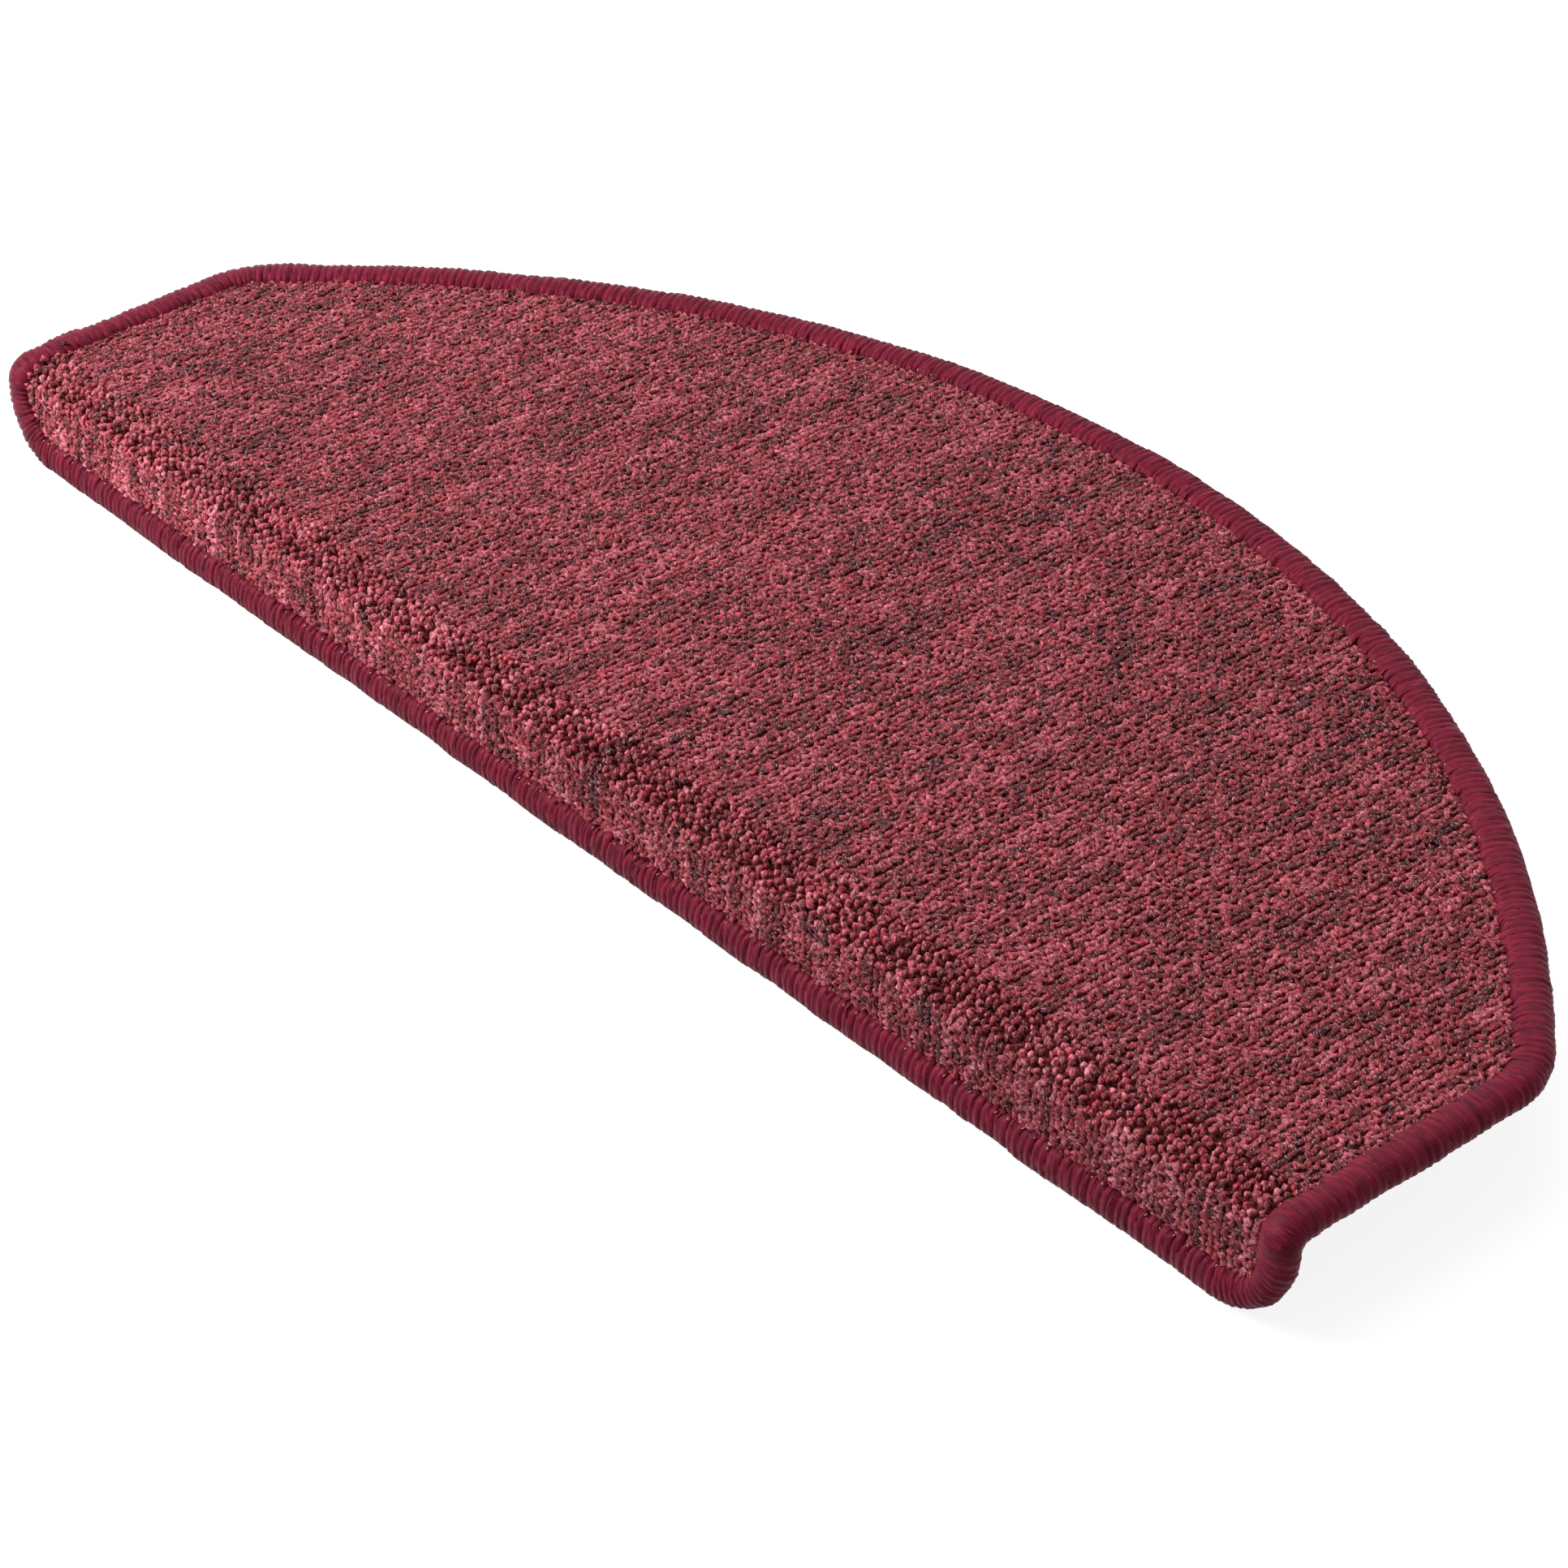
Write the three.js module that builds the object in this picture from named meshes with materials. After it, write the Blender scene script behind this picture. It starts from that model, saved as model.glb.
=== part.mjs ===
// Half-round stair tread mat: a loop-pile carpet that is bent over the stair's edge,
// on an anti-slip backing, with a whipped yarn binding round its whole edge.
//
// Frame, in millimetres: +X along the stair's width, +Y to the back of the tread, +Z up.
// The origin is on the underside, in the middle of the width, where the bend begins.
// The mat is drawn flat first, as it is cut: u across, v from the bend towards the back
// (negative down the nosing) and h up from the underside. wrap() then bends it.

import * as THREE from "three";

// Driving dimensions

// The cut, measured outside the binding
const WIDTH = 650;
const TREAD_DEPTH = 232; // from the bend to the middle of the back edge
const SIDE_LENGTH = 88; // from the bend to where the side would meet the back arc
const BACK_CORNER_RADIUS = 30;
const NOSING_LENGTH = 35.5; // from the bend to the lower edge, along the binding's middle
const NOSING_CORNER_RADIUS = 26;

// The bend over the stair's edge
const BEND_ANGLE = THREE.MathUtils.degToRad(84);
const BEND_INSIDE_RADIUS = 1;

// The layers
const BACKING_THICKNESS = 2;
const CARPET_THICKNESS = 4.8; // to the top of the loops
const CARPET_PRESSED_THICKNESS = 2.8; // where the binding grips it
const ROW_PITCH = 2.5; // from one row of loops to the next
const ROW_DEPTH = 0.8; // of the groove between two rows

// The binding
const BINDING_THICKNESS = 9.2;
const BINDING_WIDTH = 10.8;
const BINDING_EDGE_WALL = 3; // yarn outside the cut edge of the carpet
const BINDING_SHOULDER = 8; // inset at which its top starts to fall towards the pile
const BINDING_SHOULDER_DROP = 0.6;

const CLEARANCE = 0.3; // between two pieces that touch
const STEP_WIDTH = 0.4; // of the pile's slope beside the binding

// How finely curves are divided
const FRONT_STEPS = 24;
const CORNER_STEPS = 8;
const BACK_STEPS = 44;
const BEND_STEPS = 3;
const EDGE_STEPS = 4; // for the half round of the binding

// Derived sizes

const MIDDLE_HEIGHT = BINDING_THICKNESS / 2;
const MIDDLE_RADIUS = BEND_INSIDE_RADIUS + MIDDLE_HEIGHT;
const BEND_LENGTH = MIDDLE_RADIUS * BEND_ANGLE;
const BEND_ROWS = Array.from(
  { length: BEND_STEPS + 1 },
  (_, i) => BEND_LENGTH * (i / BEND_STEPS - 1),
);

const ARC_RISE = TREAD_DEPTH - SIDE_LENGTH;
const ARC_RADIUS = ((WIDTH / 2) ** 2 + ARC_RISE ** 2) / (2 * ARC_RISE);
const ARC_CENTRE_V = TREAD_DEPTH - ARC_RADIUS;
const BACK_CORNER_U = WIDTH / 2 - BACK_CORNER_RADIUS;
const BACK_CORNER_V =
  ARC_CENTRE_V + Math.sqrt((ARC_RADIUS - BACK_CORNER_RADIUS) ** 2 - BACK_CORNER_U ** 2);
const BACK_CORNER_ANGLE = Math.atan2(BACK_CORNER_V - ARC_CENTRE_V, BACK_CORNER_U);
const FRONT_CORNER_RADIUS = Math.min(
  NOSING_CORNER_RADIUS,
  NOSING_LENGTH - BEND_LENGTH - CLEARANCE, // so that the corner stays below the bend
);
const FRONT_CORNER_U = WIDTH / 2 - FRONT_CORNER_RADIUS;
const FRONT_CORNER_V = FRONT_CORNER_RADIUS - NOSING_LENGTH;

const CARPET_BOTTOM = BACKING_THICKNESS + CLEARANCE;
const CARPET_TOP = CARPET_BOTTOM + CARPET_THICKNESS;
const CARPET_PRESSED_TOP = CARPET_BOTTOM + CARPET_PRESSED_THICKNESS;
const CARPET_EDGE_INSET = BINDING_EDGE_WALL + CLEARANCE;
const CARPET_STEP_INSET = BINDING_WIDTH + CLEARANCE;
const PILE_INSET = CARPET_STEP_INSET + STEP_WIDTH;
const BACKING_INSET = BINDING_WIDTH + CLEARANCE;

// Bends the flat cut over the stair's edge.
function wrap(u, v, h) {
  const angle = THREE.MathUtils.clamp(-v / MIDDLE_RADIUS, 0, BEND_ANGLE);
  const beyond = Math.max(-v - BEND_LENGTH, 0);
  const radius = BEND_INSIDE_RADIUS + h;
  return [
    u,
    Math.max(v, 0) - radius * Math.sin(angle) - beyond * Math.cos(angle),
    radius * Math.cos(angle) - BEND_INSIDE_RADIUS - beyond * Math.sin(angle),
  ];
}

// The flat cut's outline, drawn in by inset, anticlockwise from above.
function outline(inset) {
  const side = WIDTH / 2 - inset;
  const frontRadius = FRONT_CORNER_RADIUS - inset;
  const backRadius = BACK_CORNER_RADIUS - inset;
  const path = new THREE.Path();
  path.moveTo(-FRONT_CORNER_U, inset - NOSING_LENGTH);
  path.lineTo(FRONT_CORNER_U, inset - NOSING_LENGTH);
  path.absarc(FRONT_CORNER_U, FRONT_CORNER_V, frontRadius, -Math.PI / 2, 0);
  BEND_ROWS.forEach((v) => path.lineTo(side, v));
  path.lineTo(side, BACK_CORNER_V);
  path.absarc(BACK_CORNER_U, BACK_CORNER_V, backRadius, 0, BACK_CORNER_ANGLE);
  path.absarc(
    0,
    ARC_CENTRE_V,
    ARC_RADIUS - inset,
    BACK_CORNER_ANGLE,
    Math.PI - BACK_CORNER_ANGLE,
  );
  path.absarc(
    -BACK_CORNER_U,
    BACK_CORNER_V,
    backRadius,
    Math.PI - BACK_CORNER_ANGLE,
    Math.PI,
  );
  [...BEND_ROWS].reverse().forEach((v) => path.lineTo(-side, v));
  path.lineTo(-side, FRONT_CORNER_V);
  path.absarc(-FRONT_CORNER_U, FRONT_CORNER_V, frontRadius, Math.PI, 1.5 * Math.PI);
  return path;
}

// The outline's points. Every inset gives as many, so that rings of them join one to one.
function outlinePoints(inset) {
  const curves = outline(inset).curves.filter((curve) => curve.getLength() > 1e-6);
  return curves.flatMap((curve, i) => {
    let steps = CORNER_STEPS;
    if (curve.isLineCurve) steps = i === 0 ? FRONT_STEPS : 1;
    else if (curve.xRadius > BACK_CORNER_RADIUS) steps = BACK_STEPS;
    return curve.getPoints(steps).slice(0, -1);
  });
}

// Where a line of constant u leaves the outline, at the back and at the front.
function backOf(u, inset) {
  const across = Math.abs(u);
  const arc = ARC_RADIUS - inset;
  if (across <= arc * Math.cos(BACK_CORNER_ANGLE)) {
    return ARC_CENTRE_V + Math.sqrt(arc ** 2 - across ** 2);
  }
  const radius = BACK_CORNER_RADIUS - inset;
  return BACK_CORNER_V + Math.sqrt(Math.max(radius ** 2 - (across - BACK_CORNER_U) ** 2, 0));
}

function frontOf(u, inset) {
  const beyond = Math.max(Math.abs(u) - FRONT_CORNER_U, 0);
  const radius = FRONT_CORNER_RADIUS - inset;
  return FRONT_CORNER_V - Math.sqrt(Math.max(radius ** 2 - beyond ** 2, 0));
}

// A closed surface that is put together from points of the flat cut.
class Surface {
  positions = [];
  faces = [];

  // Adds a point and says where it is on the flat cut.
  point(u, v, h) {
    this.positions.push(...wrap(u, v, h));
    return { index: this.positions.length / 3 - 1, u, v };
  }

  loop(points, h) {
    return points.map((p) => this.point(p.x, p.y, h));
  }

  face(a, b, c) {
    this.faces.push(a.index, b.index, c.index);
  }

  quad(a, b, c, d) {
    this.face(a, b, c);
    this.face(a, c, d);
  }

  // A band between two loops of as many points, facing out or up.
  band(outer, inner) {
    outer.forEach((p, i) => {
      const next = (i + 1) % outer.length;
      this.quad(p, outer[next], inner[next], inner[i]);
    });
  }

  // A band between a coarse outer loop and a fine inner one, facing up.
  stitch(outer, inner) {
    const nearest = outer
      .map((p, i) => [Math.hypot(p.u - inner[0].u, p.v - inner[0].v), i])
      .sort((a, b) => a[0] - b[0])[0][1];
    const coarse = outer.map((_, i) => outer[(i + nearest) % outer.length]);
    const far = (a, b) => Math.hypot(a.u - b.u, a.v - b.v);
    let j = 0;
    inner.forEach((p, i) => {
      const next = inner[(i + 1) % inner.length];
      this.face(coarse[j % coarse.length], next, p);
      const last = i === inner.length - 1;
      while (
        j < coarse.length &&
        (last ||
          far(coarse[(j + 1) % coarse.length], next) < far(coarse[j % coarse.length], next))
      ) {
        this.face(coarse[j % coarse.length], coarse[(j + 1) % coarse.length], next);
        j += 1;
      }
    });
  }

  // Fills a loop with flat faces on the tread and on the nosing and strips across the bend.
  cap(loop, facing) {
    const add = (a, b, c) => (facing > 0 ? this.face(a, b, c) : this.face(a, c, b));
    const fill = (points) => {
      const flat = points.map((p) => new THREE.Vector2(p.u, p.v));
      THREE.ShapeUtils.triangulateShape(flat, []).forEach(([a, b, c]) =>
        add(points[a], points[b], points[c]),
      );
    };
    fill(loop.filter((p) => p.v <= BEND_ROWS[0] + 1e-6));
    fill(loop.filter((p) => p.v >= -1e-6));
    const side = (v, sign) => loop.find((p) => Math.abs(p.v - v) < 1e-6 && p.u * sign > 0);
    BEND_ROWS.slice(1).forEach((v, i) => {
      const below = BEND_ROWS[i];
      add(side(below, -1), side(below, 1), side(v, 1));
      add(side(below, -1), side(v, 1), side(v, -1));
    });
  }

  mesh(name, colour, roughness) {
    const geometry = new THREE.BufferGeometry();
    geometry.setAttribute("position", new THREE.Float32BufferAttribute(this.positions, 3));
    geometry.setIndex(this.faces);
    geometry.computeVertexNormals();
    const material = new THREE.MeshStandardMaterial({ color: colour, roughness, metalness: 0 });
    const mesh = new THREE.Mesh(geometry, material);
    mesh.name = name;
    return mesh;
  }
}

// The carpet: rows of loops from the back edge over the bend to the lower edge, and a flat
// margin that the binding grips.
function loopPileCarpet() {
  const surface = new Surface();
  const side = WIDTH / 2 - PILE_INSET;
  const columns = 2 * Math.round((2 * side) / ROW_PITCH);

  // Grooves and crests by turns, as lines of constant u
  const lines = Array.from({ length: columns + 1 }, (_, i) => {
    const u = side * ((2 * i) / columns - 1);
    const h = CARPET_TOP - (i % 2 ? 0 : ROW_DEPTH);
    const rows = [frontOf(u, PILE_INSET), ...BEND_ROWS, backOf(u, PILE_INSET)];
    return rows.map((v) => surface.point(u, v, h));
  });
  lines.slice(1).forEach((line, i) => {
    const before = lines[i];
    line.slice(1).forEach((p, k) => surface.quad(before[k], line[k], p, before[k + 1]));
  });
  const pileEdge = [
    ...lines.map((line) => line[0]),
    ...lines.at(-1).slice(1, -1),
    ...lines.map((line) => line.at(-1)).reverse(),
    ...lines[0].slice(1, -1).reverse(),
  ];

  const foot = surface.loop(outlinePoints(CARPET_STEP_INSET), CARPET_PRESSED_TOP);
  const cut = outlinePoints(CARPET_EDGE_INSET);
  const upperEdge = surface.loop(cut, CARPET_PRESSED_TOP);
  const lowerEdge = surface.loop(cut, CARPET_BOTTOM);
  surface.stitch(foot, pileEdge);
  surface.band(upperEdge, foot);
  surface.band(lowerEdge, upperEdge);
  surface.cap(lowerEdge, -1);
  return surface.mesh("loop_pile_carpet", 0x7d2a36, 0.95);
}

// The backing: a flat sheet under the carpet, inside the binding.
function antiSlipBacking() {
  const surface = new Surface();
  const cut = outlinePoints(BACKING_INSET);
  const lower = surface.loop(cut, 0);
  const upper = surface.loop(cut, BACKING_THICKNESS);
  surface.band(lower, upper);
  surface.cap(upper, 1);
  surface.cap(lower, -1);
  return surface.mesh("anti_slip_backing", 0x4b4745, 0.9);
}

// The binding's section as [inset, height], from its lower lip round the outside to the slot
// that holds the carpet's edge.
function bindingSection() {
  const half = BINDING_THICKNESS / 2;
  const round = Array.from({ length: EDGE_STEPS + 1 }, (_, i) => {
    const angle = Math.PI * (i / EDGE_STEPS - 0.5);
    return [half - half * Math.cos(angle), half + half * Math.sin(angle)];
  });
  const slotTop = CARPET_PRESSED_TOP + CLEARANCE;
  return [
    [BINDING_WIDTH, 0],
    ...round,
    [BINDING_SHOULDER, BINDING_THICKNESS - BINDING_SHOULDER_DROP],
    [BINDING_WIDTH, CARPET_TOP],
    [BINDING_WIDTH, slotTop],
    [BINDING_EDGE_WALL, slotTop],
    [BINDING_EDGE_WALL, BACKING_THICKNESS],
    [BINDING_WIDTH, BACKING_THICKNESS],
  ];
}

function edgeBinding() {
  const surface = new Surface();
  const loops = bindingSection().map(([inset, h]) => surface.loop(outlinePoints(inset), h));
  loops.forEach((loop, i) => surface.band(loop, loops[(i + 1) % loops.length]));
  return surface.mesh("edge_binding", 0x7a1f3b, 0.6);
}

const mat = new THREE.Group();
mat.add(loopPileCarpet(), antiSlipBacking(), edgeBinding());

export default mat;
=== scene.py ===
"""The looks of a half-round stair tread mat: loop pile, whipped binding and felt backing.

All pieces are drawn on the flat cut, in millimetres: u across, v from the bend to the
back (negative down the nosing), h up from the underside. wrap() bends them over the
stair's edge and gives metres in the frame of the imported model.
"""

import math

import bpy
import numpy as np
from mathutils import Matrix, Vector


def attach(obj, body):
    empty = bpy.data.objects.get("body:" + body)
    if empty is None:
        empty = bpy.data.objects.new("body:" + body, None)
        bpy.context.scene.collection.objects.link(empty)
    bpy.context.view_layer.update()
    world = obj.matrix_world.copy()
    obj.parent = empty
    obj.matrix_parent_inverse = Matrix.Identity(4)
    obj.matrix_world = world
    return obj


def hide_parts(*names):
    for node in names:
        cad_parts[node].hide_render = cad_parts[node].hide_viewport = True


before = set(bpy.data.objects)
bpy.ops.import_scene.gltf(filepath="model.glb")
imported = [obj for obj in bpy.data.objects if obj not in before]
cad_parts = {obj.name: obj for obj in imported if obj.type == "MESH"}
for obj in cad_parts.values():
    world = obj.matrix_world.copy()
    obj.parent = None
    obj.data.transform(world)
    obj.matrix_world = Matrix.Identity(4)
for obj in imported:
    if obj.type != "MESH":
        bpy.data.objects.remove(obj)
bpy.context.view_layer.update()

# The draws in the order of the script. smooth_noise() has seeds of its own.
rng = np.random.default_rng(20)

# The cut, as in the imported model, in millimetres
WIDTH = 650.0
TREAD_DEPTH = 232.0
SIDE_LENGTH = 88.0  # on the tread, to where a side would meet the back edge's arc
BACK_RADIUS = 30.0
NOSING_LENGTH = 35.5
FRONT_RADIUS = 26.0
BEND_ANGLE = math.radians(84)
BEND_INSIDE_RADIUS = 1.0
GROUND_BOTTOM = 2.3
PILE_TOP = 7.1
BINDING_THICKNESS = 9.2
BINDING_MIDDLE = BINDING_THICKNESS / 2
MIDDLE_RADIUS = BEND_INSIDE_RADIUS + BINDING_MIDDLE
BEND_LENGTH = MIDDLE_RADIUS * BEND_ANGLE

# The large arc of the back edge, and the centres of the rounded corners
HALF_WIDTH = WIDTH / 2
ARC_RISE = TREAD_DEPTH - SIDE_LENGTH
ARC_RADIUS = (HALF_WIDTH**2 + ARC_RISE**2) / (2 * ARC_RISE)
ARC_V = TREAD_DEPTH - ARC_RADIUS
BACK_U = HALF_WIDTH - BACK_RADIUS
BACK_V = ARC_V + math.sqrt((ARC_RADIUS - BACK_RADIUS) ** 2 - BACK_U**2)
BACK_ANGLE = math.atan2(BACK_V - ARC_V, BACK_U)
FRONT_U = HALF_WIDTH - FRONT_RADIUS
FRONT_V = FRONT_RADIUS - NOSING_LENGTH

# The edge is known at points this far apart
EDGE_STEP = 0.5


def wrap(u, v, h):
    """Points of the flat cut, bent over the stair's edge, in metres."""
    u, v, h = np.broadcast_arrays(u, v, h)
    angle = np.clip(-v / MIDDLE_RADIUS, 0, BEND_ANGLE)
    beyond = np.maximum(-v - BEND_LENGTH, 0)
    radius = BEND_INSIDE_RADIUS + h
    y = np.maximum(v, 0) - radius * np.sin(angle) - beyond * np.cos(angle)
    z = radius * np.cos(angle) - BEND_INSIDE_RADIUS - beyond * np.sin(angle)
    return np.stack([u, y, z], -1) * 0.001


def outline():
    """Points of the cut's edge, anticlockwise from the front left, their normals, and s.

    s is the distance along the edge from the first point.
    """
    points, normals = [], []

    def line(start, end, normal):
        count = max(int(math.dist(start, end) / EDGE_STEP), 1)
        t = np.arange(count)[:, None] / count
        points.append(np.array(start) + (np.array(end) - start) * t)
        normals.append(np.tile(normal, (count, 1)))

    def arc(centre, radius, start, end):
        count = int(abs(end - start) * radius / EDGE_STEP)
        t = start + (end - start) * np.arange(count) / count
        normal = np.stack([np.cos(t), np.sin(t)], -1)
        points.append(np.array(centre) + radius * normal)
        normals.append(normal)

    line((-FRONT_U, -NOSING_LENGTH), (FRONT_U, -NOSING_LENGTH), (0.0, -1.0))
    arc((FRONT_U, FRONT_V), FRONT_RADIUS, -math.pi / 2, 0)
    line((HALF_WIDTH, FRONT_V), (HALF_WIDTH, BACK_V), (1.0, 0.0))
    arc((BACK_U, BACK_V), BACK_RADIUS, 0, BACK_ANGLE)
    arc((0, ARC_V), ARC_RADIUS, BACK_ANGLE, math.pi - BACK_ANGLE)
    arc((-BACK_U, BACK_V), BACK_RADIUS, math.pi - BACK_ANGLE, math.pi)
    line((-HALF_WIDTH, BACK_V), (-HALF_WIDTH, FRONT_V), (-1.0, 0.0))
    arc((-FRONT_U, FRONT_V), FRONT_RADIUS, math.pi, 1.5 * math.pi)
    points = np.vstack([*points, points[0][:1]])
    normals = np.vstack([*normals, normals[0][:1]])
    steps = np.linalg.norm(points[1:] - points[:-1], axis=1)
    return points, normals, np.concatenate([[0], np.cumsum(steps)])


EDGE_POINTS, EDGE_NORMALS, EDGE_ALONG = outline()
EDGE_LENGTH = EDGE_ALONG[-1]


def edge(s, inset):
    """Points of the cut at s along its edge, drawn in by inset."""
    s = np.mod(s, EDGE_LENGTH)
    u, v = (np.interp(s, EDGE_ALONG, EDGE_POINTS[:, k]) for k in range(2))
    normal = np.stack([np.interp(s, EDGE_ALONG, EDGE_NORMALS[:, k]) for k in range(2)], -1)
    normal /= np.linalg.norm(normal, axis=-1, keepdims=True)
    return u - normal[..., 0] * inset, v - normal[..., 1] * inset


def back_of(u, inset):
    """Where lines of constant u leave the cut at the back."""
    across = np.abs(u)
    on_arc = across <= (ARC_RADIUS - inset) * math.cos(BACK_ANGLE)
    arc = ARC_V + np.sqrt(np.maximum((ARC_RADIUS - inset) ** 2 - across**2, 0))
    room = np.maximum((BACK_RADIUS - inset) ** 2 - (across - BACK_U) ** 2, 0)
    return np.where(on_arc, arc, BACK_V + np.sqrt(room))


def front_of(u, inset):
    """Where lines of constant u leave the cut at the front."""
    beyond = np.maximum(np.abs(u) - FRONT_U, 0)
    return FRONT_V - np.sqrt(np.maximum((FRONT_RADIUS - inset) ** 2 - beyond**2, 0))


def smooth_noise(x, seed):
    """Noise of about unit spread that is smooth over one unit of x."""
    size = 4096
    table = np.random.default_rng(seed).normal(size=size)
    i = np.floor(x).astype(int)
    t = x - i
    t = t * t * (3 - 2 * t)
    return (table[i % size] * (1 - t) + table[(i + 1) % size] * t) * 1.2


def smooth_noise_2d(x, y, seed):
    """Noise of about unit spread that is smooth over one unit of x and of y."""
    size = 256
    table = np.random.default_rng(seed).normal(size=(size, size))
    i, j = np.floor(x).astype(int), np.floor(y).astype(int)
    s, t = x - i, y - j
    s, t = s * s * (3 - 2 * s), t * t * (3 - 2 * t)
    at_i, at_j, after_i, after_j = i % size, j % size, (i + 1) % size, (j + 1) % size
    low = table[at_i, at_j] * (1 - s) + table[after_i, at_j] * s
    high = table[at_i, after_j] * (1 - s) + table[after_i, after_j] * s
    return (low * (1 - t) + high * t) * 1.5


def linear(r, g, b):
    """A colour as written from 0 to 255, in scene-linear values."""
    c = np.array([r, g, b]) / 255
    return np.where(c <= 0.04045, c / 12.92, ((c + 0.055) / 1.055) ** 2.4)


# Meshes


def add_mesh(name, points, faces):
    """A smooth mesh object from points in metres and arrays of equal-sized faces."""
    mesh = bpy.data.meshes.new(name)
    sizes = np.concatenate([np.full(len(f), f.shape[1]) for f in faces])
    corners = np.concatenate([f.ravel() for f in faces])
    mesh.vertices.add(len(points))
    mesh.vertices.foreach_set("co", points.astype(np.float32).ravel())
    mesh.loops.add(len(corners))
    mesh.loops.foreach_set("vertex_index", corners.astype(np.int32))
    mesh.polygons.add(len(sizes))
    starts = np.concatenate([[0], np.cumsum(sizes)[:-1]])
    mesh.polygons.foreach_set("loop_start", starts.astype(np.int32))
    mesh.polygons.foreach_set("use_smooth", np.full(len(sizes), True))
    mesh.update(calc_edges=True)
    obj = bpy.data.objects.new(name, mesh)
    bpy.context.scene.collection.objects.link(obj)
    return obj


def set_tint(obj, tint):
    """A colour for each point, which the yarn's material reads."""
    layer = obj.data.attributes.new("tint", "FLOAT_COLOR", "POINT")
    rgba = np.concatenate([tint, np.ones((len(tint), 1))], 1)
    layer.data.foreach_set("color", rgba.astype(np.float32).ravel())


def set_yarn_map(obj, along, joined, sides, end_corners):
    """The map "yarn": once round each yarn in x, and millimetres along it in y.

    The corners of the two ends of each yarn come last in the mesh and stay at 0.
    """
    j = np.arange(sides)[None, :]
    at, to = along[joined][:, None], along[joined + 1][:, None]
    low, high, at, to = np.broadcast_arrays(j / sides, (j + 1) / sides, at, to)
    round_yarn = np.stack([low, low, high, high], -1)
    along_yarn = np.stack([at, to, to, at], -1)
    uv = np.stack([round_yarn.ravel(), along_yarn.ravel()], -1)
    uv = np.concatenate([uv, np.zeros((end_corners, 2))])
    layer = obj.data.uv_layers.new(name="yarn")
    layer.uv.foreach_set("vector", uv.astype(np.float32).ravel())


def tubes(name, centres, across, yarn, wide, thick, sides, tint, offset=0.25, phase=0.0, shape=None):
    """Closed yarns with smooth skins, through rings of sides points.

    centres, across, wide, thick and tint have a row for each ring, and yarn says which
    yarn a ring belongs to. Rings of one yarn follow each other. across is the way of the
    ring's width in metres, and wide and thick are half its width and thickness in
    millimetres. offset, in turns, and phase, in radians, say where in the ring its first
    point lies. A ready shape has the points and the normals of all rings.
    """
    same = yarn[1:] == yarn[:-1]
    first = np.concatenate([[True], ~same])
    last = np.concatenate([~same, [True]])
    after = np.where(last[:, None], centres, np.roll(centres, -1, 0))
    before = np.where(first[:, None], centres, np.roll(centres, 1, 0))
    tangent = after - before
    tangent /= np.linalg.norm(tangent, axis=1, keepdims=True)
    side = across - (across * tangent).sum(1, keepdims=True) * tangent
    side /= np.linalg.norm(side, axis=1, keepdims=True)
    over = np.cross(side, tangent)
    turn = (np.arange(sides) / sides + offset)[None, :] * 2 * math.pi
    turn = turn + np.reshape(phase, (-1, 1))
    points = (
        centres[:, None]
        + side[:, None] * (np.cos(turn) * wide[:, None])[..., None] * 0.001
        + over[:, None] * (np.sin(turn) * thick[:, None])[..., None] * 0.001
    )
    if shape:
        points = shape[0]
    joined = np.flatnonzero(same)
    ring = joined[:, None] * sides
    j = np.arange(sides)[None, :]
    k = (j + 1) % sides
    quads = np.stack([ring + j, ring + sides + j, ring + sides + k, ring + k], -1)
    starts = np.flatnonzero(first)[:, None] * sides + j
    ends = np.flatnonzero(last)[:, None] * sides + j[:, ::-1]
    obj = add_mesh(name, points.reshape(-1, 3), [quads.reshape(-1, 4), starts, ends])
    set_tint(obj, np.repeat(tint, sides, 0))
    if shape:
        obj.data.normals_split_custom_set_from_vertices(shape[1].reshape(-1, 3))
    step = np.linalg.norm(centres - before, axis=1) * 1000
    yarn_shift = 7.3  # so that the streaks of two yarns differ
    along = np.cumsum(step) + yarn * yarn_shift
    set_yarn_map(obj, along, joined, sides, (len(starts) + len(ends)) * sides)
    return obj


# Materials


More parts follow.
